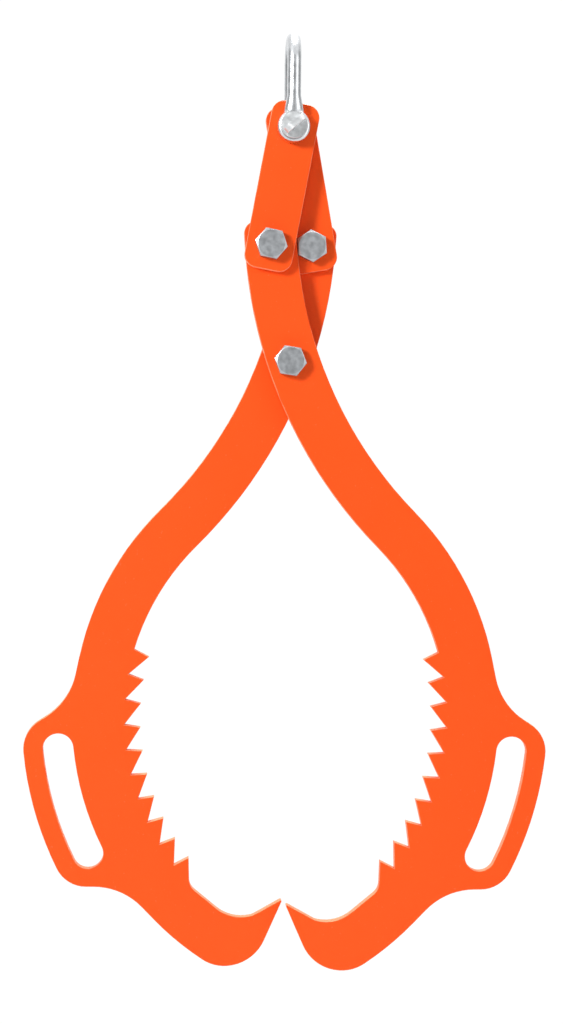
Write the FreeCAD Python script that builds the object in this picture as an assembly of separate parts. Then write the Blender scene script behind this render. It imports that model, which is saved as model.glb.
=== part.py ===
# Log grapple: scissor lifting tongs cut from plate, hung from a long shackle.
#
# Two saw-toothed jaw arms cross at a main pivot. Above it two straight links
# join their upper ends to the shackle's pin, so that pulling the shackle up
# closes the jaws. All lengths are millimetres and all angles are degrees.
# Z is up, every plate faces Y, the front is -Y, and the origin is the inside
# of the shackle's crown, where a hook carries the grapple.
import FreeCAD, Part
import math
import os

# ---- plates and their layers, front to back ----
plate_thickness = 8.0
layer_gap = 0.3            # free play between plates that slide on each other
plate_edge_break = 0.4
cut_overrun = 1.0          # how far a cutting shape runs past what it cuts

# ---- the four-bar linkage, drawn with the jaws closed ----
link_pitch = 100.0         # hole to hole of a link, and of an arm's upper part
closed_stop_gap = 0.86     # left between an arm and the other arm's bolt head

# ---- link straps ----
link_width = 41.0
link_end_overhang = 21.5   # plate beyond each hole
link_corner_bend = 11.0

# ---- jaw arm: every circle of the jaw shares one centre ----
arm_width = 44.5
arm_end_overhang = 21.0
arm_corner_bend = 10.0
jaw_bend_radius = 233.6    # middle of the strap, round the jaw centre
upper_bend_radius = 382.0  # middle of the strap, bent the other way
bend_change_angle = 45.0   # the two bends meet on this line from the jaw centre
pivot_hole_offset = 2.92   # from the strap's middle line, away from the jaw
link_hole_offset = 0.65

# ---- saw teeth ----
tooth_count = 10
tooth_depth = 14.0
tooth_pitch_angle = 6.0
first_tooth_angle = 15.5
tooth_undercut_angle = 0.75  # how far each root lies above its tip

# ---- hand grip and its slot ----
grip_angle = -16.0
slot_width = 26.3
slot_half_angle = 10.2     # from the grip's middle to each slot end centre
slot_step = 0.55           # from the back of the strap out to the slot
grip_rim = 16.9
shoulder_past_slot_angle = 3.4
shoulder_rise = 0.6
shoulder_bend = 28.5
hollow_past_shoulder_angle = 5.3
hollow_rise = 3.2
hollow_bend = 58.5

# ---- jaw end: angles past the last tooth, in its order round the outline ----
heel_past_angle = 20.5
heel_rise = 0.3            # outside the back of the strap
heel_bend = 34.4
toe_past_angle = 27.4
toe_drop = 18.0            # inside the back of the strap
toe_bend = 37.6
point_past_angle = 27.28
point_reach = 36.4         # beyond the teeth's roots, toward the log
point_bend = 1.0
nose_past_angle = 22.1
nose_reach = 11.2
nose_bend = 10.0
throat_low_past_angle = 18.2
throat_low_bend = 34.4
throat_relief = 2.0        # throat floor behind the teeth's roots
throat_high_past_angle = 5.4
throat_high_bend = 12.8

# ---- hexagon bolts, lock nuts and the spacers round them ----
bolt_diameter = 16.0
bore_clearance = 0.1       # radial, between a bolt and what turns on it
open_pivot_clearance = 0.4 # radial, in the back arm's bore at the main pivot
hexagon_wall = 4.0         # bolt's side to a flat, across the thinnest metal
hexagon_face_inset = 0.6   # turned face inside the flats
hexagon_chamfer_height = 1.2
bolt_head_height = 10.0
lock_nut_height = 13.0
lock_ring_height = 3.0
lock_ring_wall = 1.3
lock_collar_wall = 1.45
bolt_end_chamfer = 1.5
bolt_end_proud = 2.0
thread_clearance = 0.05
spacer_wall = 3.9
left_head_turn = 19.0      # from flats left and right
pivot_head_turn = 22.0

# ---- shackle ----
bow_diameter = 12.0
bow_inside_height = 69.8   # from the pin's centre line to the crown
ear_side_play = 1.2        # between a link and the ear beside it
ear_wall = 6.55            # round the pin's bore
ear_thickness = 12.0
ear_edge_break = 1.6
flare_top_height = 26.0    # above the pin, where the leg begins to widen
flare_foot_height = 5.5
flare_foot_inset = 3.8     # narrower than the ear on each side
pin_diameter = 14.0
pin_collar_wall = 4.0
pin_collar_length = 3.5
pin_tab_thickness = 5.0
pin_tab_width = 19.0
pin_tab_reach = 14.0
pin_tab_corner_bend = 6.3
pin_tab_hole_diameter = 6.0
pin_tab_lean = 40.0        # from level, seen from the front
pin_end_proud = 2.0

# ---- places worked out from the sizes above ----
half_plate = plate_thickness / 2
layer_pitch = plate_thickness + layer_gap
front_link_back = -half_plate - layer_gap
front_link_front = front_link_back - plate_thickness
back_link_front = half_plate + layer_gap
back_link_back = back_link_front + plate_thickness
back_arm_front = back_link_back + layer_gap
back_arm_back = back_arm_front + plate_thickness

hexagon_flats = bolt_diameter + 2 * hexagon_wall
thread_bore_diameter = bolt_diameter + 2 * thread_clearance
lock_ring_diameter = bolt_diameter + 2 * lock_ring_wall
lock_collar_diameter = lock_ring_diameter + 2 * lock_collar_wall

# The jaws close until a bolt head comes near the other arm, and the links
# lean from upright by the angle that is left.
bolt_to_arm = arm_width / 2 + link_hole_offset + hexagon_flats / 2 + closed_stop_gap
link_step_across = bolt_to_arm / 2
link_step_down = math.sqrt(link_pitch**2 - link_step_across**2)
pin_height = -bow_inside_height
link_bolt_height = pin_height - link_step_down
main_pivot_height = link_bolt_height - link_step_down

strap_inside_radius = jaw_bend_radius - arm_width / 2
back_radius = jaw_bend_radius + arm_width / 2
bore_diameter = bolt_diameter + 2 * bore_clearance
open_pivot_bore_diameter = bolt_diameter + 2 * open_pivot_clearance
pin_bore_diameter = pin_diameter + 2 * bore_clearance
upper_outside_radius = upper_bend_radius - arm_width / 2
upper_inside_radius = upper_bend_radius + arm_width / 2
slot_radius = back_radius + slot_step + slot_width / 2
grip_radius = slot_radius + slot_width / 2 + grip_rim
last_tooth_angle = first_tooth_angle - (tooth_count - 1) * tooth_pitch_angle
shoulder_half_angle = slot_half_angle + shoulder_past_slot_angle
hollow_half_angle = shoulder_half_angle + hollow_past_shoulder_angle

ear_diameter = pin_bore_diameter + 2 * ear_wall
ear_inside = back_link_back + ear_side_play
ear_outside = ear_inside + ear_thickness
leg_offset = ear_inside + bow_diameter / 2
crown_centre_height = bow_diameter / 2 - leg_offset


# ---- drawing plates ----
def polar(centre, angle, distance):
    """The point at an angle and a distance from a centre, as (across, up)."""
    turn = math.radians(angle)
    return (centre[0] + distance * math.cos(turn), centre[1] + distance * math.sin(turn))


def big_bend(centre, first_angle, last_angle, radius):
    """The corner whose rounding is an arc round a centre between two angles."""
    middle = (first_angle + last_angle) / 2
    half_turn = math.radians(abs(last_angle - first_angle) / 2)
    across, up = polar(centre, middle, radius / math.cos(half_turn))
    return (across, up, radius)


def corner(centre, angle, distance, bend):
    """A rounded corner given by its angle and distance from a centre."""
    across, up = polar(centre, angle, distance)
    return (across, up, bend)


def leaves_circle(radius, angle, distance, side):
    """The angle at which a straight run to a farther point leaves a circle."""
    return angle + side * math.degrees(math.acos(radius / distance))


def rounded_outline(corners):
    """A closed wire of straight runs joined by tangent arcs, facing Y.

    Each corner is (across, up, bend radius). Where two bends would overlap on
    the run between them, each keeps its share of the run.
    """
    count = len(corners)
    points = [FreeCAD.Vector(across, 0, up) for across, up, bend in corners]
    toward_next = []
    run_lengths = []
    for index in range(count):
        run = points[(index + 1) % count] - points[index]
        run_lengths.append(run.Length)
        toward_next.append(run.normalize())
    setbacks = []
    for index in range(count):
        turn = toward_next[index - 1].getAngle(toward_next[index])
        setbacks.append(corners[index][2] * math.tan(turn / 2))
    shares = [1.0] * count
    for index in range(count):
        following = (index + 1) % count
        wanted = setbacks[index] + setbacks[following]
        if wanted > run_lengths[index]:
            share = run_lengths[index] / wanted
            shares[index] = min(shares[index], share)
            shares[following] = min(shares[following], share)
    edges = []
    previous_end = None
    first_start = None
    for index in range(count):
        setback = setbacks[index] * shares[index]
        bend = corners[index][2] * shares[index]
        start = points[index] - toward_next[index - 1] * setback
        end = points[index] + toward_next[index] * setback
        if first_start is None:
            first_start = start
        elif start.distanceToPoint(previous_end) > 1e-4:
            edges.append(Part.makeLine(previous_end, start))
        if setback > 1e-4:
            inward = (toward_next[index] - toward_next[index - 1]).normalize()
            centre_distance = math.hypot(setback, bend)
            middle = points[index] + inward * (centre_distance - bend)
            edges.append(Part.Arc(start, middle, end).toShape())
        previous_end = end
    if first_start.distanceToPoint(previous_end) > 1e-4:
        edges.append(Part.makeLine(previous_end, first_start))
    return Part.Wire(edges)


def cut_plate(outline, openings):
    """Plate cut to an outline, with its front face on Y = 0, edges broken."""
    face = Part.Face(outline)
    solid = face.extrude(FreeCAD.Vector(0, plate_thickness, 0))
    for opening in openings:
        solid = solid.cut(opening)
    return break_rims(solid)


def break_rims(solid):
    """Chamfer the rims of a plate's front and back faces."""
    rims = []
    for edge in solid.Edges:
        box = edge.BoundBox
        if box.YLength < 1e-6:
            rims.append(edge)
    return solid.makeChamfer(plate_edge_break, rims)


def bore(across, up, diameter):
    """A round bore through the plate."""
    start = FreeCAD.Vector(across, -cut_overrun, up)
    along = FreeCAD.Vector(0, 1, 0)
    depth = plate_thickness + 2 * cut_overrun
    return Part.makeCylinder(diameter / 2, depth, start, along)


def arc_slot(centre, radius, width, middle_angle, spread):
    """A slot with round ends, bent round a centre."""
    low = middle_angle - spread
    high = middle_angle + spread
    half = width / 2
    marks = []
    for angle, distance in (
        (low, radius + half),
        (middle_angle, radius + half),
        (high, radius + half),
        (high, radius - half),
        (middle_angle, radius - half),
        (low, radius - half),
    ):
        across, up = polar(centre, angle, distance)
        marks.append(FreeCAD.Vector(across, -cut_overrun, up))
    end_turn = math.degrees(half / radius)
    across, up = polar(centre, high + end_turn, radius)
    high_end = FreeCAD.Vector(across, -cut_overrun, up)
    across, up = polar(centre, low - end_turn, radius)
    low_end = FreeCAD.Vector(across, -cut_overrun, up)
    edges = [
        Part.Arc(marks[0], marks[1], marks[2]).toShape(),
        Part.Arc(marks[2], high_end, marks[3]).toShape(),
        Part.Arc(marks[3], marks[4], marks[5]).toShape(),
        Part.Arc(marks[5], low_end, marks[0]).toShape(),
    ]
    face = Part.Face(Part.Wire(edges))
    return face.extrude(FreeCAD.Vector(0, plate_thickness + 2 * cut_overrun, 0))


# ---- jaw arm, drawn round its main pivot with the jaw to the right ----
def angle_round(centre, point):
    """The angle of a point seen from a centre, from 0 to 360."""
    across = point[0] - centre[0]
    up = point[1] - centre[1]
    return math.degrees(math.atan2(up, across)) % 360


def meeting_point(first, first_distance, second, second_distance):
    """The point at given distances from two others, right of the way between."""
    across = second[0] - first[0]
    up = second[1] - first[1]
    between = math.hypot(across, up)
    along = (between**2 + first_distance**2 - second_distance**2) / (2 * between)
    aside = math.sqrt(first_distance**2 - along**2)
    return (
        first[0] + (across * along + up * aside) / between,
        first[1] + (up * along - across * aside) / between,
    )


main_pivot = (0.0, 0.0)
link_hole = (-link_step_across, link_step_down)
other_link_bolt = (link_step_across, link_step_down)
bend_centre = meeting_point(
    main_pivot,
    upper_bend_radius + pivot_hole_offset,
    link_hole,
    upper_bend_radius + link_hole_offset,
)
bends_meet_angle = bend_change_angle + 180
jaw_centre = polar(bend_centre, bends_meet_angle, upper_bend_radius + jaw_bend_radius)
link_hole_angle = angle_round(bend_centre, link_hole)
bolt_head_turn = angle_round(bend_centre, other_link_bolt) - 180


def jaw_arm(pivot_bore_diameter):
    """One arm: hanger end, two bends, hand grip, pointed jaw and saw teeth."""
    first_root = first_tooth_angle + tooth_undercut_angle
    outline = upper_end_corners()
    outline += [
        big_bend(bend_centre, link_hole_angle, bends_meet_angle, upper_outside_radius),
        big_bend(jaw_centre, bend_change_angle, back_leaves_above(), back_radius),
    ]
    outline += grip_corners()
    outline += jaw_end_corners()
    outline += tooth_corners()
    outline += [
        big_bend(jaw_centre, first_root, bend_change_angle, strap_inside_radius),
        big_bend(bend_centre, bends_meet_angle, link_hole_angle, upper_inside_radius),
    ]
    slot = arc_slot(jaw_centre, slot_radius, slot_width, grip_angle, slot_half_angle)
    pivot_bore = bore(main_pivot[0], main_pivot[1], pivot_bore_diameter)
    link_bore = bore(link_hole[0], link_hole[1], bore_diameter)
    return cut_plate(rounded_outline(outline), [pivot_bore, link_bore, slot])


def upper_end_corners():
    """The square upper end, which runs on straight beyond the link hole."""
    corners = []
    for radius in (upper_inside_radius, upper_outside_radius):
        beside_hole = polar(bend_centre, link_hole_angle, radius)
        upward = link_hole_angle - 90
        corners.append(corner(beside_hole, upward, arm_end_overhang, arm_corner_bend))
    return corners


def back_leaves_above():
    """Where the straight run into the grip's upper hollow leaves the back."""
    hollow_distance = back_radius + hollow_rise
    return leaves_circle(back_radius, grip_angle + hollow_half_angle, hollow_distance, 1)


def grip_corners():
    """Hollow, shoulder, grip, shoulder, hollow, and the back below them."""
    hollow_distance = back_radius + hollow_rise
    shoulder_distance = grip_radius + shoulder_rise
    upper_hollow = grip_angle + hollow_half_angle
    upper_shoulder = grip_angle + shoulder_half_angle
    lower_shoulder = grip_angle - shoulder_half_angle
    lower_hollow = grip_angle - hollow_half_angle
    grip_start = leaves_circle(grip_radius, upper_shoulder, shoulder_distance, -1)
    grip_end = leaves_circle(grip_radius, lower_shoulder, shoulder_distance, 1)
    back_start = leaves_circle(back_radius, lower_hollow, hollow_distance, -1)
    heel_angle = last_tooth_angle - heel_past_angle
    back_end = leaves_circle(back_radius, heel_angle, back_radius + heel_rise, 1)
    return [
        corner(jaw_centre, upper_hollow, hollow_distance, hollow_bend),
        corner(jaw_centre, upper_shoulder, shoulder_distance, shoulder_bend),
        big_bend(jaw_centre, grip_start, grip_end, grip_radius),
        corner(jaw_centre, lower_shoulder, shoulder_distance, shoulder_bend),
        corner(jaw_centre, lower_hollow, hollow_distance, hollow_bend),
        big_bend(jaw_centre, back_start, back_end, back_radius),
    ]


def jaw_end_corners():
    """Heel, toe, the jaw's point and the smooth throat above it."""
    root = strap_inside_radius
    floor = root + throat_relief
    corners = []
    for past_angle, distance, bend in (
        (heel_past_angle, back_radius + heel_rise, heel_bend),
        (toe_past_angle, back_radius - toe_drop, toe_bend),
        (point_past_angle, root - point_reach, point_bend),
        (nose_past_angle, root - nose_reach, nose_bend),
        (throat_low_past_angle, floor, throat_low_bend),
        (throat_high_past_angle, floor, throat_high_bend),
    ):
        corners.append(corner(jaw_centre, last_tooth_angle - past_angle, distance, bend))
    return corners


def tooth_corners():
    """The saw teeth from the lowest to the highest, tip then root of each."""
    corners = []
    for tooth in reversed(range(tooth_count)):
        tip_angle = first_tooth_angle - tooth * tooth_pitch_angle
        root_angle = tip_angle + tooth_undercut_angle
        tip_distance = strap_inside_radius - tooth_depth
        corners.append(corner(jaw_centre, tip_angle, tip_distance, 0))
        corners.append(corner(jaw_centre, root_angle, strap_inside_radius, 0))
    return corners


def place(solid, across, front, up):
    """Move a finished solid from its own drawing to its place."""
    placed = solid.copy()
    placed.translate(FreeCAD.Vector(across, front, up))
    return placed


def mirror_across(solid):
    """The left-right mirror image of a solid."""
    return solid.mirror(FreeCAD.Vector(0, 0, 0), FreeCAD.Vector(1, 0, 0))


# ---- link strap, drawn with its upper hole at the drawing's origin ----
def link_strap(side):
    """A straight link whose lower hole lies to one side: -1 left, 1 right."""
    lower_hole = (side * link_step_across, -link_step_down)
    down_angle = angle_round((0, 0), lower_hole)
    end_reach = link_end_overhang
    corners = []
    for along, offset in (
        (-end_reach, -link_width / 2),
        (-end_reach, link_width / 2),
        (link_pitch + end_reach, link_width / 2),
        (link_pitch + end_reach, -link_width / 2),
    ):
        across, up = polar((0, 0), down_angle, along)
        across, up = polar((across, up), down_angle + 90, offset)
        corners.append((across, up, link_corner_bend))
    upper_bore = bore(0, 0, pin_bore_diameter)
    lower_bore = bore(lower_hole[0], lower_hole[1], bore_diameter)
    return cut_plate(rounded_outline(corners), [upper_bore, lower_bore])


# ---- turned and hexagonal pieces, drawn along Y from Y = 0 backwards ----
def rod(diameter, length, start=0.0):
    """A round bar round the Y axis."""
    origin = FreeCAD.Vector(0, start, 0)
    along = FreeCAD.Vector(0, 1, 0)
    return Part.makeCylinder(diameter / 2, length, origin, along)


def cone(front_diameter, back_diameter, length, start):
    """A taper round the Y axis."""
    origin = FreeCAD.Vector(0, start, 0)
    along = FreeCAD.Vector(0, 1, 0)
    return Part.makeCone(front_diameter / 2, back_diameter / 2, length, origin, along)


def tube(outside_diameter, inside_diameter, length):
    """A plain ring or bush."""
    hole = rod(inside_diameter, length + 2 * cut_overrun, -cut_overrun)
    return rod(outside_diameter, length).cut(hole)


def hexagon(flats, length, turn):
    """A six-sided bar with its flats left and right when the turn is zero."""
    corner_distance = flats / 2 / math.cos(math.radians(30))
    corners = []
    for side in range(7):
        across, up = polar((0, 0), 30 + 60 * side + turn, corner_distance)
        corners.append(FreeCAD.Vector(across, 0, up))
    face = Part.Face(Part.makePolygon(corners))
    return face.extrude(FreeCAD.Vector(0, length, 0))


def hexagon_head(height, turn, chamfer_front):
    """A hexagon with its corners turned off at one end by a shallow cone."""
    corner_diameter = hexagon_flats / math.cos(math.radians(30))
    face_diameter = hexagon_flats - 2 * hexagon_face_inset
    straight = height - hexagon_chamfer_height
    if chamfer_front:
        taper = cone(face_diameter, corner_diameter, hexagon_chamfer_height, 0)
        blank = taper.fuse(rod(corner_diameter, straight, hexagon_chamfer_height))
    else:
        taper = cone(corner_diameter, face_diameter, hexagon_chamfer_height, straight)
        blank = taper.fuse(rod(corner_diameter, straight))
    return hexagon(hexagon_flats, height, turn).common(blank)


def hexagon_bolt(under_head_length, turn):
    """Head and shank; Y = 0 is the underside of the head."""
    head = hexagon_head(bolt_head_height, turn, True)
    head.translate(FreeCAD.Vector(0, -bolt_head_height, 0))
    straight = under_head_length - bolt_end_chamfer
    end_diameter = bolt_diameter - 2 * bolt_end_chamfer
    end = cone(bolt_diameter, end_diameter, bolt_end_chamfer, straight)
    return head.fuse([rod(bolt_diameter, straight), end]).removeSplitter()


def lock_nut(turn):
    """Nut whose round collar behind holds the locking ring."""
    body = hexagon_head(lock_nut_height, turn, False)
    collar = rod(lock_collar_diameter, lock_ring_height, lock_nut_height)
    whole_length = lock_nut_height + lock_ring_height + 2 * cut_overrun
    thread = rod(thread_bore_diameter, whole_length, -cut_overrun)
    seat = rod(lock_ring_diameter, lock_ring_height + cut_overrun, lock_nut_height)
    return body.fuse(collar).cut(thread).cut(seat).removeSplitter()


def lock_ring():
    """The plastic ring that grips the thread behind the nut."""
    return tube(lock_ring_diameter, thread_bore_diameter, lock_ring_height)


# ---- shackle, drawn in its place ----
def shackle_bow():
    """Round bar bent in a long U across the plates, with an ear on each leg."""
    foot_height = pin_height + flare_foot_height
    front_foot = FreeCAD.Vector(0, -leg_offset, foot_height)
    front_shoulder = FreeCAD.Vector(0, -leg_offset, crown_centre_height)
    crown_top = FreeCAD.Vector(0, 0, crown_centre_height + leg_offset)
    back_shoulder = FreeCAD.Vector(0, leg_offset, crown_centre_height)
    back_foot = FreeCAD.Vector(0, leg_offset, foot_height)
    path = Part.Wire([
        Part.makeLine(front_foot, front_shoulder),
        Part.Arc(front_shoulder, crown_top, back_shoulder).toShape(),
        Part.makeLine(back_shoulder, back_foot),
    ])
    upward = FreeCAD.Vector(0, 0, 1)
    section = Part.Wire(Part.makeCircle(bow_diameter / 2, front_foot, upward))
    bow = path.makePipeShell([section], True, True)
    for side in (-1, 1):
        bow = bow.fuse([shackle_ear(side), ear_flare(side)])
    bore_length = 2 * (ear_outside + cut_overrun)
    hole = rod(pin_bore_diameter, bore_length, -bore_length / 2)
    hole.translate(FreeCAD.Vector(0, 0, pin_height))
    return bow.removeSplitter().cut(hole)


def shackle_ear(side):
    """A forged disc with broken rims round the pin: -1 front, 1 back."""
    start = ear_inside if side > 0 else -ear_outside
    disc = rod(ear_diameter, ear_thickness, start)
    disc.translate(FreeCAD.Vector(0, 0, pin_height))
    rims = [edge for edge in disc.Edges if edge.BoundBox.YLength < 1e-6]
    return disc.makeChamfer(ear_edge_break, rims)


def ear_flare(side):
    """The taper by which a leg widens into its ear, as thick as the ear."""
    foot_height = pin_height + flare_foot_height
    foot = FreeCAD.Vector(0, side * leg_offset, foot_height)
    foot_radius = ear_diameter / 2 - flare_foot_inset
    height = flare_top_height - flare_foot_height
    upward = FreeCAD.Vector(0, 0, 1)
    flare = Part.makeCone(foot_radius, bow_diameter / 2, height, foot, upward)
    start = ear_inside if side > 0 else -ear_outside
    near_corner = FreeCAD.Vector(-foot_radius, start, foot_height)
    slab = Part.makeBox(2 * foot_radius, ear_thickness, height, near_corner)
    return flare.common(slab)


def shackle_pin():
    """Collared pin with a flat holed tab, its eye, for turning it."""
    collar_front = -ear_outside - pin_collar_length
    shank_length = 2 * ear_outside + pin_end_proud
    shank = rod(pin_diameter, shank_length, -ear_outside)
    collar_diameter = pin_diameter + 2 * pin_collar_wall
    collar = rod(collar_diameter, pin_collar_length, collar_front)
    pin = shank.fuse([collar, pin_tab(collar_front - pin_tab_reach)])
    pin = pin.removeSplitter()
    pin.translate(FreeCAD.Vector(0, 0, pin_height))
    return pin


def pin_tab(tab_front):
    """The flat tab before the pin's collar, leaning as the pin was tightened."""
    near_corner = FreeCAD.Vector(-pin_tab_width / 2, tab_front, -pin_tab_thickness / 2)
    tab = Part.makeBox(pin_tab_width, pin_tab_reach, pin_tab_thickness, near_corner)
    front_corners = []
    for edge in tab.Edges:
        if edge.BoundBox.YMax < tab_front + 1e-6 and edge.BoundBox.XLength < 1e-6:
            front_corners.append(edge)
    tab = tab.makeFillet(pin_tab_corner_bend, front_corners)
    eye_foot = FreeCAD.Vector(0, tab_front + pin_tab_reach / 2, -pin_tab_thickness)
    eye = Part.makeCylinder(pin_tab_hole_diameter / 2, 2 * pin_tab_thickness, eye_foot)
    tab = tab.cut(eye)
    tab.rotate(FreeCAD.Vector(0, 0, 0), FreeCAD.Vector(0, 1, 0), -pin_tab_lean)
    return tab


# ---- the finished pieces ----
def export(name, solid):
    solid.exportStep("parts/" + name + ".step")


def bolt_set(name, across, height, head_seat, head_turn, nut_seat, nut_turn):
    """A bolt with its nut and locking ring, from its two seats."""
    nut_front = nut_seat + layer_gap
    ring_front = nut_front + lock_nut_height
    bolt_end = ring_front + lock_ring_height + bolt_end_proud
    bolt = hexagon_bolt(bolt_end - head_seat, head_turn)
    export(name + "_bolt", place(bolt, across, head_seat, height))
    export(name + "_nut", place(lock_nut(nut_turn), across, nut_front, height))
    export(name + "_lock_ring", place(lock_ring(), across, ring_front, height))


os.makedirs("parts", exist_ok=True)

front_arm = jaw_arm(bore_diameter)
back_arm = mirror_across(jaw_arm(open_pivot_bore_diameter))
export("front_arm", place(front_arm, 0, -half_plate, main_pivot_height))
export("back_arm", place(back_arm, 0, back_arm_front, main_pivot_height))
export("front_link", place(link_strap(-1), 0, front_link_front, pin_height))
export("back_link", place(link_strap(1), 0, back_link_front, pin_height))

bolt_set(
    "left_link", -link_step_across, link_bolt_height,
    front_link_front, left_head_turn, half_plate, -bolt_head_turn,
)
bolt_set(
    "right_link", link_step_across, link_bolt_height,
    back_link_front, bolt_head_turn, back_arm_back, bolt_head_turn,
)
bolt_set(
    "pivot", 0, main_pivot_height,
    -half_plate, pivot_head_turn, back_arm_back, pivot_head_turn,
)
spacer_diameter = bore_diameter + 2 * spacer_wall
pivot_spacer = tube(spacer_diameter, bore_diameter, layer_pitch)
export("pivot_spacer", place(pivot_spacer, 0, half_plate, main_pivot_height))

pin_spacer_diameter = pin_bore_diameter + 2 * spacer_wall
pin_spacer = tube(pin_spacer_diameter, pin_bore_diameter, plate_thickness)
export("pin_spacer", place(pin_spacer, 0, -half_plate, pin_height))
export("shackle_bow", shackle_bow())
export("shackle_pin", shackle_pin())
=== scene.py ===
"""Log grapple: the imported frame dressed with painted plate, zinc-plated bolts and a forged shackle.

Every length is in metres, in the frame's own axes: +Z up along the pull, the front
plates towards -Y, and the origin inside the shackle's crown.
"""
import math

import bmesh
import bpy
from mathutils import Matrix, Vector


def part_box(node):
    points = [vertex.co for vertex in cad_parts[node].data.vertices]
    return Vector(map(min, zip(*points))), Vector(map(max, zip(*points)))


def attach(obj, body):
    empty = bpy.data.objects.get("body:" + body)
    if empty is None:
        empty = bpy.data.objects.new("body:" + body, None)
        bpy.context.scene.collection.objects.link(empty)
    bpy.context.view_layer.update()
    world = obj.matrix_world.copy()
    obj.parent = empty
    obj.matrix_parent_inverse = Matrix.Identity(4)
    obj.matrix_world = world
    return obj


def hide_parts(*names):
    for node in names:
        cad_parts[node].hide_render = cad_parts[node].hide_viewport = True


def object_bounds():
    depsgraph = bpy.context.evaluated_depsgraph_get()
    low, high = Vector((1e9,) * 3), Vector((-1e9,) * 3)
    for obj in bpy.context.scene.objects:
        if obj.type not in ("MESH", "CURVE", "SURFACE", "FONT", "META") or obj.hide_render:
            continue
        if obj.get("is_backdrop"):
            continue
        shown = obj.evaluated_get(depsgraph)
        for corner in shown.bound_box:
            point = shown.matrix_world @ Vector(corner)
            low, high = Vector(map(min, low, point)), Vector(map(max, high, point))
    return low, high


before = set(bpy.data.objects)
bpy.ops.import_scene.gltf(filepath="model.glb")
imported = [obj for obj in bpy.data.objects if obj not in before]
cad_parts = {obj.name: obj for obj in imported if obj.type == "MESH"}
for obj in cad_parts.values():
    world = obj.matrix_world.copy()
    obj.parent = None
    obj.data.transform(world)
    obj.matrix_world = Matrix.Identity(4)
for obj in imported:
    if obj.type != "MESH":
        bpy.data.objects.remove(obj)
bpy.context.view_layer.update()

bl_info = {
    "name": "Log Grapple",
    "version": (1, 0, 0),
    "blender": (4, 5, 0),
    "location": "View3D > Sidebar > Log Grapple",
    "description": "Dresses the frame of a log grapple with its plates, bolts and shackle",
    "category": "Add Mesh",
}

BAR_SIDES = 48
CROWN_STEPS = 40
EAR_SIDES = 72
EAR_RIM_BEND = 0.0022
EAR_RIM_STEPS = 5
FLARE_FOOT = 0.004
FLARE_INSET = 0.0036
FORGING_GRAIN = 0.0006
FORGING_SOFTENING = 24
BORE_RIM_ANGLE = math.radians(40)
QUARTER_TURN = (math.pi / 2, 0, 0)
SURFACE_OUTPUTS = (
    ("Colour", "NodeSocketColor"),
    ("Roughness", "NodeSocketFloat"),
    ("Height", "NodeSocketFloat"),
)

CAMERA_PLACE = (-0.1083, -1.6240, -0.3257)
CAMERA_YAW = math.radians(3.613)
CAMERA_PITCH = math.radians(2.48)
CAMERA_ROLL = math.radians(0.598)
CAMERA_LENS = 44.35
SENSOR_HEIGHT = 24.0
CAMERA_REACH = 50

# Lamps: name, place, size and watts. All aim at the middle of the grapple.
LAMP_AIM = (0, 0, -0.40)
LAMPS = (
    ("key lamp", (-1.7, -1.9, 0.55), 0.6, 62),
    ("fill lamp", (1.7, -1.6, -0.1), 1.6, 7),
    ("top lamp", (0.1, 0.25, 1.3), 0.8, 70),
)

# Studio light: what reflections see is darker straight ahead and at both sides.
DIFFUSE_LIGHT = 0.31
FRONT_FLAG_SPREAD = (-0.985, -0.86)
FRONT_FLAG_SHADE = 0.28
SIDE_FLAG_SPREAD = (0.72, 0.95)
SIDE_FLAG_SHADE = 0.40

# Backdrop: a floor, a wall behind it and the bend between them.
FLOOR_SIZE = (9, 6, 1)
WALL_HEIGHT = 5
BACKDROP_BEND = 0.9
BACKDROP_BEND_STEPS = 16
BACKDROP_GLOW = 1.04
GLOW_SHARE = 0.97


# ---- sizes and colours that a user would change ----
class GrapplePaint(bpy.types.PropertyGroup):
    """The paint on the plates."""

    colour: bpy.props.FloatVectorProperty(
        name="Paint colour",
        description="Colour of the paint on the flat of the plates",
        subtype="COLOR",
        size=3,
        min=0.0,
        max=1.0,
        default=(0.95, 0.083, 0.003),
    )
    # Paler paint on worn rims and on the cut sides; on the cut sides it is partly thinner paint and
    # partly a painted highlight.
    thin_paint_and_highlight_colour: bpy.props.FloatVectorProperty(
        name="Thin paint and highlight colour",
        description="Colour of the thinner paint along the rims of the plates",
        subtype="COLOR",
        size=3,
        min=0.0,
        max=1.0,
        default=(0.96, 0.26, 0.13),
    )
    roughness: bpy.props.FloatProperty(
        name="Paint roughness",
        description="How dull the paint is",
        default=0.48,
        min=0.05,
        max=1.0,
    )


class GrappleFasteners(bpy.types.PropertyGroup):
    """Plating on bolts, nuts and spacers."""

    zinc_colour: bpy.props.FloatVectorProperty(
        name="Bolt zinc colour",
        description="Colour of the plating on bolts and nuts",
        subtype="COLOR",
        size=3,
        min=0.0,
        max=1.0,
        default=(0.47, 0.49, 0.51),
    )


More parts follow.
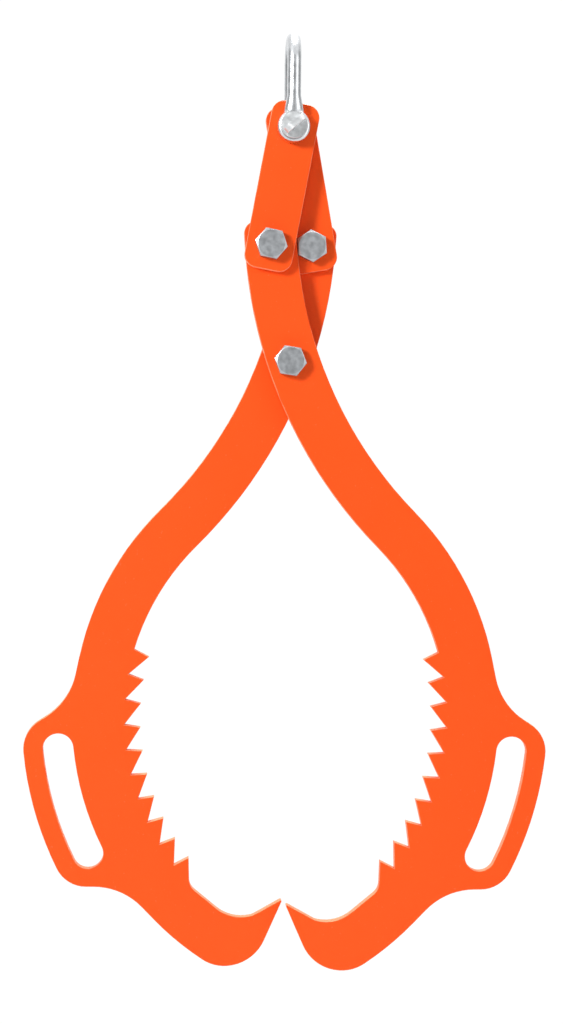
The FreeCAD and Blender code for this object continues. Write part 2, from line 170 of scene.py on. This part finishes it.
class GrappleShackle(bpy.types.PropertyGroup):
    """Long shackle and its screw pin."""

    bar_diameter: bpy.props.FloatProperty(
        name="Bar diameter",
        description="Thickness of the bow's round bar",
        subtype="DISTANCE",
        default=0.012,
        min=0.004,
        max=0.03,
    )
    flare_top: bpy.props.FloatProperty(
        name="Flare top",
        description="Height above the pin where a leg begins to widen into its ear",
        subtype="DISTANCE",
        default=0.026,
        min=0.015,
        max=0.04,
    )
    pin_hole_diameter: bpy.props.FloatProperty(
        name="Pin hole diameter",
        description="Bore through the ears",
        subtype="DISTANCE",
        default=0.0142,
        min=0.006,
        max=0.03,
    )
    ear_diameter: bpy.props.FloatProperty(
        name="Ear diameter",
        description="Diameter of the eyes that hold the pin",
        subtype="DISTANCE",
        default=0.0273,
        min=0.010,
        max=0.08,
    )
    zinc_colour: bpy.props.FloatVectorProperty(
        name="Shackle zinc colour",
        description="Colour of the plating on the shackle",
        subtype="COLOR",
        size=3,
        min=0.0,
        max=1.0,
        default=(0.72, 0.74, 0.76),
    )
    pin_zinc_colour: bpy.props.FloatVectorProperty(
        name="Pin zinc colour",
        description="Colour of the duller plating on the shackle's pin",
        subtype="COLOR",
        size=3,
        min=0.0,
        max=1.0,
        default=(0.74, 0.76, 0.77),
    )


class GrappleStage(bpy.types.PropertyGroup):
    """Floor, backdrop and light."""

    floor_drop: bpy.props.FloatProperty(
        name="Floor drop",
        description="Height of the hanging jaws above the floor",
        subtype="DISTANCE",
        default=0.70,
        min=0.0,
        max=3.0,
    )
    backdrop_colour: bpy.props.FloatVectorProperty(
        name="Backdrop colour",
        description="Colour of floor and backdrop",
        subtype="COLOR",
        size=3,
        min=0.0,
        max=1.0,
        default=(0.9, 0.9, 0.9),
    )


# ---- nodes for materials ----
def add_node(tree, kind, **values):
    """Adds a shader node; values name its settings, or else its inputs."""
    node = tree.nodes.new(kind)
    for key, value in values.items():
        if hasattr(node, key):
            setattr(node, key, value)
        else:
            node.inputs[key.replace("_", " ")].default_value = value
    return node


def new_group(name, inputs, outputs):
    """A shader node group with named sockets, each given as (name, type, default)."""
    group = bpy.data.node_groups.new(name, "ShaderNodeTree")
    for socket_name, socket_type, default in inputs:
        socket = group.interface.new_socket(socket_name, in_out="INPUT", socket_type=socket_type)
        if default is not None:
            socket.default_value = default
    for socket_name, socket_type in outputs:
        group.interface.new_socket(socket_name, in_out="OUTPUT", socket_type=socket_type)
    return group, group.nodes.new("NodeGroupInput"), group.nodes.new("NodeGroupOutput")


def link(tree, source, target):
    tree.links.new(source, target)


def ramp(tree, source, given_range, wanted_range):
    """Maps one range of a value onto another, clamped at both ends."""
    node = tree.nodes.new("ShaderNodeMapRange")
    settings = zip(("From Min", "From Max", "To Min", "To Max"), (*given_range, *wanted_range))
    for name, value in settings:
        node.inputs[name].default_value = value
    link(tree, source, node.inputs["Value"])
    return node


def rim_wear_and_side_highlight_group():
    """Masks of a plate's cut sides, and of its paler paint: worn rims, and the cut sides, whose paler
    paint is partly thinner paint and partly a painted highlight.
    """
    group, given, result = new_group(
        "Rim Wear",
        (
            ("Place", "NodeSocketVector", None),
            ("Facing", "NodeSocketVector", None),
            ("Patch Scale", "NodeSocketFloat", 60.0),
            ("Cover", "NodeSocketFloat", 0.5),
        ),
        (("Rim", "NodeSocketFloat"), ("Cut Side", "NodeSocketFloat")),
    )
    parts = add_node(group, "ShaderNodeSeparateXYZ")
    link(group, given.outputs["Facing"], parts.inputs[0])
    flatness = add_node(group, "ShaderNodeMath", operation="ABSOLUTE")
    link(group, parts.outputs["Y"], flatness.inputs[0])
    side = ramp(group, flatness.outputs[0], (0.30, 0.55), (1.0, 0.0))
    link(group, side.outputs[0], result.inputs["Cut Side"])
    slant = ramp(group, flatness.outputs[0], (0.97, 0.80), (0.0, 1.0))
    not_side = add_node(group, "ShaderNodeMath", operation="SUBTRACT")
    not_side.inputs[0].default_value = 1.0
    link(group, side.outputs[0], not_side.inputs[1])
    rim = add_node(group, "ShaderNodeMath", operation="MULTIPLY")
    link(group, slant.outputs[0], rim.inputs[0])
    link(group, not_side.outputs[0], rim.inputs[1])
    patches = add_node(group, "ShaderNodeTexNoise", Detail=3.0)
    link(group, given.outputs["Place"], patches.inputs["Vector"])
    link(group, given.outputs["Patch Scale"], patches.inputs["Scale"])
    level = add_node(group, "ShaderNodeMath", operation="SUBTRACT")
    link(group, patches.outputs["Fac"], level.inputs[0])
    link(group, given.outputs["Cover"], level.inputs[1])
    sharp = add_node(group, "ShaderNodeMath", operation="MULTIPLY_ADD", use_clamp=True)
    sharp.inputs[1].default_value = 5.0
    sharp.inputs[2].default_value = 0.5
    link(group, level.outputs[0], sharp.inputs[0])
    worn = add_node(group, "ShaderNodeMath", operation="MULTIPLY")
    link(group, rim.outputs[0], worn.inputs[0])
    link(group, sharp.outputs[0], worn.inputs[1])
    # Painted highlight: the cut sides get the paler paint at three quarters strength, partly as
    # thinner paint and partly as the pale highlight on cut edges.
    side_highlight_and_thin_paint = add_node(group, "ShaderNodeMath", operation="MULTIPLY")
    side_highlight_and_thin_paint.inputs[1].default_value = 0.75
    link(group, side.outputs[0], side_highlight_and_thin_paint.inputs[0])
    worn_rim_and_side_highlight = add_node(group, "ShaderNodeMath", operation="MAXIMUM")
    link(group, worn.outputs[0], worn_rim_and_side_highlight.inputs[0])
    link(group, side_highlight_and_thin_paint.outputs[0], worn_rim_and_side_highlight.inputs[1])
    link(group, worn_rim_and_side_highlight.outputs[0], result.inputs["Rim"])
    return group


def paint_film_group():
    """Sprayed paint: broad drift of colour, a fine orange-peel skin, cut lines on the sides."""
    group, given, result = new_group(
        "Paint Film",
        (
            ("Place", "NodeSocketVector", None),
            ("Paint", "NodeSocketColor", (1, 0.1, 0.01, 1)),
            ("Thin Paint", "NodeSocketColor", (1, 0.3, 0.1, 1)),
            ("Rim", "NodeSocketFloat", 0.0),
            ("Cut Side", "NodeSocketFloat", 0.0),
            ("Dullness", "NodeSocketFloat", 0.35),
        ),
        SURFACE_OUTPUTS,
    )
    place = given.outputs["Place"]
    drift = add_node(group, "ShaderNodeTexNoise", Scale=7.0, Detail=2.0)
    link(group, place, drift.inputs["Vector"])
    shade = ramp(group, drift.outputs["Fac"], (0.3, 0.7), (0.955, 1.0))
    toned = add_node(group, "ShaderNodeVectorMath", operation="SCALE")
    link(group, given.outputs["Paint"], toned.inputs[0])
    link(group, shade.outputs[0], toned.inputs["Scale"])
    # Paler paint by the rim mask: worn rims, and cut sides where it is partly a painted highlight.
    rubbed_and_highlit = add_node(group, "ShaderNodeMix", data_type="RGBA")
    link(group, given.outputs["Rim"], rubbed_and_highlit.inputs[0])
    link(group, toned.outputs[0], rubbed_and_highlit.inputs[6])
    link(group, given.outputs["Thin Paint"], rubbed_and_highlit.inputs[7])
    specks = add_node(group, "ShaderNodeTexNoise", Scale=420.0, Detail=2.0)
    link(group, place, specks.inputs["Vector"])
    speck_mask = ramp(group, specks.outputs["Fac"], (0.70, 0.76), (0.0, 0.18))
    dusted = add_node(group, "ShaderNodeMix", data_type="RGBA")
    link(group, speck_mask.outputs[0], dusted.inputs[0])
    link(group, rubbed_and_highlit.outputs[2], dusted.inputs[6])
    dusted.inputs[7].default_value = (0.62, 0.30, 0.16, 1)
    link(group, dusted.outputs[2], result.inputs["Colour"])
    peel = add_node(group, "ShaderNodeTexNoise", Scale=650.0, Detail=1.0)
    link(group, place, peel.inputs["Vector"])
    stretch = add_node(group, "ShaderNodeMapping")
    stretch.inputs["Scale"].default_value = (1500.0, 60.0, 1500.0)
    link(group, place, stretch.inputs["Vector"])
    cut_lines = add_node(group, "ShaderNodeTexNoise", Scale=1.0, Detail=2.0)
    link(group, stretch.outputs[0], cut_lines.inputs["Vector"])
    lines = add_node(group, "ShaderNodeMath", operation="MULTIPLY")
    link(group, cut_lines.outputs["Fac"], lines.inputs[0])
    link(group, given.outputs["Cut Side"], lines.inputs[1])
    height = add_node(group, "ShaderNodeMath", operation="MULTIPLY_ADD")
    height.inputs[1].default_value = 2.5
    link(group, lines.outputs[0], height.inputs[0])
    link(group, peel.outputs["Fac"], height.inputs[2])
    link(group, height.outputs[0], result.inputs["Height"])
    smear = add_node(group, "ShaderNodeTexNoise", Scale=24.0, Detail=4.0)
    link(group, place, smear.inputs["Vector"])
    dull = add_node(group, "ShaderNodeMath", operation="MULTIPLY_ADD")
    dull.inputs[1].default_value = 0.14
    link(group, smear.outputs["Fac"], dull.inputs[0])
    link(group, given.outputs["Dullness"], dull.inputs[2])
    link(group, dull.outputs[0], result.inputs["Roughness"])
    return group


def zinc_plate_group():
    """Zinc plating: cloudy brightness and dullness, and a slightly pitted skin."""
    group, given, result = new_group(
        "Zinc Plating",
        (
            ("Place", "NodeSocketVector", None),
            ("Zinc", "NodeSocketColor", (0.6, 0.6, 0.62, 1)),
            ("Cloud Scale", "NodeSocketFloat", 120.0),
            ("Pit Scale", "NodeSocketFloat", 900.0),
            ("Dullness", "NodeSocketFloat", 0.25),
        ),
        SURFACE_OUTPUTS,
    )
    place = given.outputs["Place"]
    clouds = add_node(group, "ShaderNodeTexNoise", Detail=5.0)
    link(group, place, clouds.inputs["Vector"])
    link(group, given.outputs["Cloud Scale"], clouds.inputs["Scale"])
    shade = ramp(group, clouds.outputs["Fac"], (0.3, 0.7), (0.80, 1.08))
    toned = add_node(group, "ShaderNodeVectorMath", operation="SCALE")
    link(group, given.outputs["Zinc"], toned.inputs[0])
    link(group, shade.outputs[0], toned.inputs["Scale"])
    link(group, toned.outputs[0], result.inputs["Colour"])
    pits = add_node(group, "ShaderNodeTexNoise", Detail=3.0)
    link(group, place, pits.inputs["Vector"])
    link(group, given.outputs["Pit Scale"], pits.inputs["Scale"])
    link(group, pits.outputs["Fac"], result.inputs["Height"])
    dull = add_node(group, "ShaderNodeMath", operation="MULTIPLY_ADD")
    dull.inputs[1].default_value = 0.20
    link(group, clouds.outputs["Fac"], dull.inputs[0])
    link(group, given.outputs["Dullness"], dull.inputs[2])
    link(group, dull.outputs[0], result.inputs["Roughness"])
    return group


def group_once(name, build):
    """The node group of that name, built the first time it is asked for."""
    if name in bpy.data.node_groups:
        return bpy.data.node_groups[name]
    return build()


def place_group(tree, group, place):
    node = tree.nodes.new("ShaderNodeGroup")
    node.node_tree = group
    link(tree, place, node.inputs["Place"])
    return node


def new_material(name):
    """An empty material with a Principled shader and its Object coordinates."""
    material = bpy.data.materials.new(name)
    material.use_nodes = True
    tree = material.node_tree
    tree.nodes.clear()
    output = tree.nodes.new("ShaderNodeOutputMaterial")
    shader = tree.nodes.new("ShaderNodeBsdfPrincipled")
    link(tree, shader.outputs[0], output.inputs["Surface"])
    where = tree.nodes.new("ShaderNodeTexCoord")
    return material, tree, shader, where


def relief(tree, shader, height, distance, strength):
    bump = add_node(tree, "ShaderNodeBump")
    bump.inputs["Strength"].default_value = strength
    bump.inputs["Distance"].default_value = distance
    link(tree, height, bump.inputs["Height"])
    link(tree, bump.outputs[0], shader.inputs["Normal"])


def plate_paint():
    """Orange satin paint for the plates."""
    paint = bpy.context.scene.grapple_paint
    material, tree, shader, where = new_material("plate paint")
    # Rim masks: worn rim bevels, and cut sides that carry a painted highlight in the paler paint.
    rim_and_side_masks = place_group(tree, group_once("Rim Wear", rim_wear_and_side_highlight_group), where.outputs["Object"])
    link(tree, where.outputs["Normal"], rim_and_side_masks.inputs["Facing"])
    rim_and_side_masks.inputs["Patch Scale"].default_value = 45.0
    rim_and_side_masks.inputs["Cover"].default_value = 0.42
    film = place_group(tree, group_once("Paint Film", paint_film_group), where.outputs["Object"])
    film.inputs["Paint"].default_value = (*paint.colour, 1)
    film.inputs["Thin Paint"].default_value = (*paint.thin_paint_and_highlight_colour, 1)
    film.inputs["Dullness"].default_value = paint.roughness - 0.07
    link(tree, rim_and_side_masks.outputs["Rim"], film.inputs["Rim"])
    link(tree, rim_and_side_masks.outputs["Cut Side"], film.inputs["Cut Side"])
    link(tree, film.outputs["Colour"], shader.inputs["Base Color"])
    link(tree, film.outputs["Roughness"], shader.inputs["Roughness"])
    shader.inputs["Specular IOR Level"].default_value = 0.26
    relief(tree, shader, film.outputs["Height"], 0.00005, 0.35)
    return material


def zinc(name, colour, cloud_scale, pit_scale, dullness):
    """Zinc-plated steel."""
    material, tree, shader, where = new_material(name)
    group = group_once("Zinc Plating", zinc_plate_group)
    plating = place_group(tree, group, where.outputs["Object"])
    plating.inputs["Zinc"].default_value = (*colour, 1)
    plating.inputs["Cloud Scale"].default_value = cloud_scale
    plating.inputs["Pit Scale"].default_value = pit_scale
    plating.inputs["Dullness"].default_value = dullness
    link(tree, plating.outputs["Colour"], shader.inputs["Base Color"])
    link(tree, plating.outputs["Roughness"], shader.inputs["Roughness"])
    shader.inputs["Metallic"].default_value = 1.0
    relief(tree, shader, plating.outputs["Height"], 0.00006, 0.4)
    return material


def material_once(name, build, *values):
    if name in bpy.data.materials:
        return bpy.data.materials[name]
    return build(*values)


def bolt_zinc():
    colour = bpy.context.scene.grapple_fasteners.zinc_colour
    return material_once("bolt zinc", zinc, "bolt zinc", colour, 220.0, 1400.0, 0.30)


def shackle_zinc():
    colour = bpy.context.scene.grapple_shackle.zinc_colour
    return material_once("shackle zinc", zinc, "shackle zinc", colour, 140.0, 420.0, 0.16)


def pin_zinc():
    colour = bpy.context.scene.grapple_shackle.pin_zinc_colour
    return material_once("pin zinc", zinc, "pin zinc", colour, 260.0, 900.0, 0.34)


def nylon():
    """Blue plastic of the locking rings."""
    if "lock ring nylon" in bpy.data.materials:
        return bpy.data.materials["lock ring nylon"]
    material, tree, shader, where = new_material("lock ring nylon")
    grain = add_node(tree, "ShaderNodeTexNoise", Scale=1800.0, Detail=2.0)
    link(tree, where.outputs["Object"], grain.inputs["Vector"])
    tone = add_node(tree, "ShaderNodeMix", data_type="RGBA")
    link(tree, grain.outputs["Fac"], tone.inputs[0])
    tone.inputs[6].default_value = (0.030, 0.075, 0.30, 1)
    tone.inputs[7].default_value = (0.045, 0.11, 0.40, 1)
    link(tree, tone.outputs[2], shader.inputs["Base Color"])
    shader.inputs["Roughness"].default_value = 0.45
    relief(tree, shader, grain.outputs["Fac"], 0.00003, 0.3)
    return material


# ---- modelling helpers ----
def deselect_all():
    if bpy.context.object and bpy.context.object.mode != "OBJECT":
        bpy.ops.object.mode_set(mode="OBJECT")
    bpy.ops.object.select_all(action="DESELECT")


def dress(node_name, material):
    """Gives a CAD node its material."""
    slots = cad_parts[node_name].data.materials
    slots.clear()
    slots.append(material)


def apply_modifier(piece, kind, **values):
    """Adds a modifier with the given settings and applies it."""
    bpy.context.view_layer.objects.active = piece
    modifier = piece.modifiers.new(kind.lower(), kind)
    for key, value in values.items():
        setattr(modifier, key, value)
    bpy.ops.object.modifier_apply(modifier=modifier.name)


def select_where(piece, element, wanted):
    """In edit mode, selects just the vertices, edges or faces that a test wants."""
    bpy.ops.mesh.select_all(action="DESELECT")
    edit = bmesh.from_edit_mesh(piece.data)
    edit.select_mode = {element}
    for item in getattr(edit, {"VERT": "verts", "EDGE": "edges", "FACE": "faces"}[element]):
        item.select = wanted(item)
    edit.select_flush_mode()
    bmesh.update_edit_mesh(piece.data)


def bent_bar(leg_offset, foot_height, crown_height, bar_radius):
    """The shackle's round bar: up the front leg, over the crown and down the back leg."""
    deselect_all()
    bpy.ops.mesh.primitive_circle_add(
        vertices=BAR_SIDES,
        radius=bar_radius,
        fill_type="NGON",
        location=(0, -leg_offset, foot_height),
    )
    bar = bpy.context.object
    bpy.ops.object.transform_apply(location=True, rotation=True, scale=True)
    bpy.ops.object.mode_set(mode="EDIT")
    bpy.ops.mesh.select_all(action="SELECT")
    rise = crown_height - foot_height
    bpy.ops.mesh.extrude_region_move(TRANSFORM_OT_translate={"value": (0, 0, rise)})
    bpy.ops.mesh.spin(
        steps=CROWN_STEPS, angle=math.pi, center=(0, 0, crown_height), axis=(1, 0, 0)
    )
    bpy.ops.mesh.extrude_region_move(TRANSFORM_OT_translate={"value": (0, 0, -rise)})
    bpy.ops.mesh.select_all(action="SELECT")
    bpy.ops.mesh.normals_make_consistent(inside=False)
    bpy.ops.object.mode_set(mode="OBJECT")
    return bar


def beside_flat_end(edge):
    """Whether an edge borders the many-sided flat end of a disc."""
    return any(len(face.verts) > 4 for face in edge.link_faces)


def ear_disc(place, radius, thickness):
    """One ear of the shackle: a disc round the pin with rounded rims."""
    deselect_all()
    bpy.ops.mesh.primitive_cylinder_add(
        vertices=EAR_SIDES,
        radius=radius,
        depth=thickness,
        location=place,
        rotation=QUARTER_TURN,
    )
    disc = bpy.context.object
    bpy.ops.object.mode_set(mode="EDIT")
    select_where(disc, "EDGE", beside_flat_end)
    bpy.ops.mesh.bevel(offset=EAR_RIM_BEND, segments=EAR_RIM_STEPS)
    bpy.ops.object.mode_set(mode="OBJECT")
    return disc


def ear_flare(place, foot_radius, bar_radius, height):
    """The forged taper from a leg into its ear: a round top on a flattened foot."""
    deselect_all()
    bpy.ops.mesh.primitive_cone_add(
        vertices=BAR_SIDES, radius1=foot_radius, radius2=bar_radius, depth=height, location=place
    )
    flare = bpy.context.object
    bpy.ops.object.mode_set(mode="EDIT")
    select_where(flare, "VERT", lambda vertex: vertex.co.z < 0)
    foot = (place[0], place[1], place[2] - height / 2)
    flatten = (1, bar_radius / foot_radius, 1)
    bpy.ops.transform.resize(value=flatten, center_override=foot)
    bpy.ops.object.mode_set(mode="OBJECT")
    return flare


def forged_bow():
    """The shackle's bow: bar, flares and ears fused and softened as a forging is, then bored."""
    shackle = bpy.context.scene.grapple_shackle
    low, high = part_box("shackle_bow")
    bar_radius = shackle.bar_diameter / 2
    ear_radius = shackle.ear_diameter / 2
    leg_offset = high.y - bar_radius
    pin_height = low.z + ear_radius
    crown_height = high.z - leg_offset - bar_radius
    flare_height = shackle.flare_top - FLARE_FOOT
    flare_middle = pin_height + (FLARE_FOOT + shackle.flare_top) / 2
    foot_radius = ear_radius - FLARE_INSET
    blanks = [bent_bar(leg_offset, pin_height, crown_height, bar_radius)]
    for side in (-1, 1):
        leg = side * leg_offset
        blanks.append(ear_disc((0, leg, pin_height), ear_radius, shackle.bar_diameter))
        blanks.append(ear_flare((0, leg, flare_middle), foot_radius, bar_radius, flare_height))
    deselect_all()
    for blank in blanks:
        blank.select_set(True)
    bow = blanks[0]
    bpy.context.view_layer.objects.active = bow
    bpy.ops.object.join()
    apply_modifier(bow, "REMESH", mode="VOXEL", voxel_size=FORGING_GRAIN)
    apply_modifier(bow, "SMOOTH", factor=0.5, iterations=FORGING_SOFTENING)
    deselect_all()
    bpy.ops.mesh.primitive_cylinder_add(
        vertices=EAR_SIDES,
        radius=shackle.pin_hole_diameter / 2,
        depth=4 * leg_offset,
        location=(0, 0, pin_height),
        rotation=QUARTER_TURN,
    )
    bore = bpy.context.object
    apply_modifier(bow, "BOOLEAN", operation="DIFFERENCE", solver="EXACT", object=bore)
    bpy.data.objects.remove(bore)
    deselect_all()
    bow.select_set(True)
    bpy.context.view_layer.objects.active = bow
    bpy.ops.object.transform_apply(location=True, rotation=True, scale=True)
    bpy.ops.object.shade_smooth_by_angle(angle=BORE_RIM_ANGLE)
    bow.name = "forged_shackle_bow"
    return bow


# ---- operators ----
class GRAPPLE_OT_plates(bpy.types.Operator):
    """Paint the two jaw arms and the two link straps"""

    bl_idname = "grapple.plates"
    bl_label = "Paint plates"

    def execute(self, context):
        paint = plate_paint()
        for node_name in ("front_arm", "back_arm", "front_link", "back_link"):
            dress(node_name, paint)
        return {"FINISHED"}


class GRAPPLE_OT_fasteners(bpy.types.Operator):
    """Bolts, lock nuts and spacers"""

    bl_idname = "grapple.fasteners"
    bl_label = "Make bolts and nuts"

    def execute(self, context):
        for place in ("left_link", "right_link", "pivot"):
            dress(place + "_bolt", bolt_zinc())
            dress(place + "_nut", bolt_zinc())
            dress(place + "_lock_ring", nylon())
        dress("pivot_spacer", bolt_zinc())
        dress("pin_spacer", bolt_zinc())
        return {"FINISHED"}


class GRAPPLE_OT_shackle(bpy.types.Operator):
    """Shackle bow and pin"""

    bl_idname = "grapple.shackle"
    bl_label = "Make shackle"

    def execute(self, context):
        bow = forged_bow()
        bow.data.materials.append(shackle_zinc())
        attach(bow, "shackle_set")
        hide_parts("shackle_bow")
        dress("shackle_pin", pin_zinc())
        return {"FINISHED"}


def area_lamp(name, place, size, watts):
    """A square lamp that faces the middle of the grapple."""
    deselect_all()
    bpy.ops.object.light_add(type="AREA", location=place)
    lamp = bpy.context.object
    lamp.name = name
    lamp.data.shape = "SQUARE"
    lamp.data.size = size
    lamp.data.energy = watts
    aim = Vector(LAMP_AIM) - Vector(place)
    lamp.rotation_euler = aim.to_track_quat("-Z", "Y").to_euler()


def add_camera():
    """The camera, turned by yaw, pitch and roll from looking along +Y."""
    deselect_all()
    bpy.ops.object.camera_add(location=CAMERA_PLACE)
    camera = bpy.context.object
    camera.name = "camera"
    flat_ahead = Vector((math.sin(CAMERA_YAW), math.cos(CAMERA_YAW), 0))
    forward = flat_ahead * math.cos(CAMERA_PITCH) - Vector((0, 0, math.sin(CAMERA_PITCH)))
    level = Vector((math.cos(CAMERA_YAW), -math.sin(CAMERA_YAW), 0))
    upright = level.cross(forward)
    right = math.cos(CAMERA_ROLL) * level + math.sin(CAMERA_ROLL) * upright
    up = -math.sin(CAMERA_ROLL) * level + math.cos(CAMERA_ROLL) * upright
    camera.rotation_euler = Matrix((right, up, -forward)).transposed().to_euler()
    camera.data.sensor_fit = "VERTICAL"
    camera.data.sensor_height = SENSOR_HEIGHT
    camera.data.lens = CAMERA_LENS
    camera.data.clip_end = CAMERA_REACH
    bpy.context.scene.camera = camera


class GRAPPLE_OT_stage(bpy.types.Operator):
    """Floor, backdrop, lamps and camera"""

    bl_idname = "grapple.stage"
    bl_label = "Make stage"

    def execute(self, context):
        stage = context.scene.grapple_stage
        low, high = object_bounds()
        floor_height = low.z - stage.floor_drop
        deselect_all()
        bpy.ops.mesh.primitive_plane_add(size=1, location=(0, 0, floor_height))
        floor = bpy.context.object
        floor.name = "floor_and_backdrop"
        bpy.ops.object.mode_set(mode="EDIT")
        bpy.ops.transform.resize(value=FLOOR_SIZE)
        select_where(floor, "EDGE", lambda edge: all(vertex.co.y > 0 for vertex in edge.verts))
        bpy.ops.mesh.extrude_region_move(TRANSFORM_OT_translate={"value": (0, 0, WALL_HEIGHT)})
        select_where(floor, "EDGE", lambda edge: len(edge.link_faces) == 2)
        bpy.ops.mesh.bevel(offset=BACKDROP_BEND, segments=BACKDROP_BEND_STEPS)
        bpy.ops.object.mode_set(mode="OBJECT")
        bpy.ops.object.transform_apply(location=True, rotation=True, scale=True)
        bpy.ops.object.shade_smooth()
        floor.data.materials.append(self.backdrop(stage.backdrop_colour))
        floor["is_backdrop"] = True
        self.light_world(context.scene)
        for name, place, size, watts in LAMPS:
            area_lamp(name, place, size, watts)
        add_camera()
        context.scene.view_settings.view_transform = "Standard"
        return {"FINISHED"}

    def backdrop(self, colour):
        """Pale matt paper that the camera and reflections see as white."""
        material, tree, shader, where = new_material("backdrop paper")
        fibres = add_node(tree, "ShaderNodeTexNoise", Scale=30.0, Detail=3.0)
        link(tree, where.outputs["Object"], fibres.inputs["Vector"])
        tone = add_node(tree, "ShaderNodeMix", data_type="RGBA")
        link(tree, fibres.outputs["Fac"], tone.inputs[0])
        tone.inputs[6].default_value = (*[0.985 * c for c in colour], 1)
        tone.inputs[7].default_value = (*colour, 1)
        link(tree, tone.outputs[2], shader.inputs["Base Color"])
        shader.inputs["Roughness"].default_value = 0.9
        rays = tree.nodes.new("ShaderNodeLightPath")
        seen = add_node(tree, "ShaderNodeMath", operation="MAXIMUM")
        link(tree, rays.outputs["Is Camera Ray"], seen.inputs[0])
        link(tree, rays.outputs["Is Glossy Ray"], seen.inputs[1])
        seen_or_through = add_node(tree, "ShaderNodeMath", operation="MAXIMUM")
        link(tree, seen.outputs[0], seen_or_through.inputs[0])
        link(tree, rays.outputs["Is Transmission Ray"], seen_or_through.inputs[1])
        share = add_node(tree, "ShaderNodeMath", operation="MULTIPLY")
        share.inputs[1].default_value = GLOW_SHARE
        link(tree, seen_or_through.outputs[0], share.inputs[0])
        white = add_node(tree, "ShaderNodeEmission", Strength=BACKDROP_GLOW)
        mix = tree.nodes.new("ShaderNodeMixShader")
        link(tree, share.outputs[0], mix.inputs[0])
        link(tree, shader.outputs[0], mix.inputs[1])
        link(tree, white.outputs[0], mix.inputs[2])
        output = next(node for node in tree.nodes if node.type == "OUTPUT_MATERIAL")
        link(tree, mix.outputs[0], output.inputs["Surface"])
        return material

    def light_world(self, scene):
        """Even studio light, a little darker on the side that the front faces."""
        world = bpy.data.worlds.new("studio")
        scene.world = world
        world.use_nodes = True
        tree = world.node_tree
        tree.nodes.clear()
        output = tree.nodes.new("ShaderNodeOutputWorld")
        where = tree.nodes.new("ShaderNodeTexCoord")
        parts = tree.nodes.new("ShaderNodeSeparateXYZ")
        link(tree, where.outputs["Generated"], parts.inputs[0])
        front = ramp(tree, parts.outputs["Y"], FRONT_FLAG_SPREAD, (FRONT_FLAG_SHADE, 1.0))
        sideways = add_node(tree, "ShaderNodeMath", operation="ABSOLUTE")
        link(tree, parts.outputs["X"], sideways.inputs[0])
        flags = ramp(tree, sideways.outputs[0], SIDE_FLAG_SPREAD, (1.0, SIDE_FLAG_SHADE))
        reflected = add_node(tree, "ShaderNodeMath", operation="MULTIPLY")
        link(tree, front.outputs[0], reflected.inputs[0])
        link(tree, flags.outputs[0], reflected.inputs[1])
        rays = tree.nodes.new("ShaderNodeLightPath")
        seen = add_node(tree, "ShaderNodeMath", operation="MAXIMUM")
        link(tree, rays.outputs["Is Glossy Ray"], seen.inputs[0])
        link(tree, rays.outputs["Is Transmission Ray"], seen.inputs[1])
        dim = add_node(tree, "ShaderNodeMix", data_type="FLOAT")
        link(tree, seen.outputs[0], dim.inputs[0])
        dim.inputs[2].default_value = DIFFUSE_LIGHT
        link(tree, reflected.outputs[0], dim.inputs[3])
        camera_or_not = add_node(tree, "ShaderNodeMix", data_type="FLOAT")
        link(tree, rays.outputs["Is Camera Ray"], camera_or_not.inputs[0])
        link(tree, dim.outputs[0], camera_or_not.inputs[2])
        camera_or_not.inputs[3].default_value = 1.0
        background = tree.nodes.new("ShaderNodeBackground")
        background.inputs["Color"].default_value = (1, 1, 1, 1)
        link(tree, camera_or_not.outputs[0], background.inputs["Strength"])
        link(tree, background.outputs[0], output.inputs["Surface"])


class GRAPPLE_PT_panel(bpy.types.Panel):
    bl_label = "Log Grapple"
    bl_idname = "GRAPPLE_PT_panel"
    bl_space_type = "VIEW_3D"
    bl_region_type = "UI"
    bl_category = "Log Grapple"

    def draw(self, context):
        for operator in OPERATORS:
            self.layout.operator(operator.bl_idname)
        for group_name in SETTINGS:
            box = self.layout.box()
            group = getattr(context.scene, group_name)
            for key in group.__annotations__:
                box.prop(group, key)


SETTINGS = {
    "grapple_paint": GrapplePaint,
    "grapple_fasteners": GrappleFasteners,
    "grapple_shackle": GrappleShackle,
    "grapple_stage": GrappleStage,
}
OPERATORS = (GRAPPLE_OT_plates, GRAPPLE_OT_fasteners, GRAPPLE_OT_shackle, GRAPPLE_OT_stage)


def register():
    for group_name, group in SETTINGS.items():
        bpy.utils.register_class(group)
        setattr(bpy.types.Scene, group_name, bpy.props.PointerProperty(type=group))
    for operator in OPERATORS:
        bpy.utils.register_class(operator)
    bpy.utils.register_class(GRAPPLE_PT_panel)


def unregister():
    bpy.utils.unregister_class(GRAPPLE_PT_panel)
    for operator in reversed(OPERATORS):
        bpy.utils.unregister_class(operator)
    for group_name, group in SETTINGS.items():
        delattr(bpy.types.Scene, group_name)
        bpy.utils.unregister_class(group)


def main():
    register()
    bpy.ops.grapple.plates()
    bpy.ops.grapple.fasteners()
    bpy.ops.grapple.shackle()
    bpy.ops.grapple.stage()


if __name__ == "__main__":
    main()
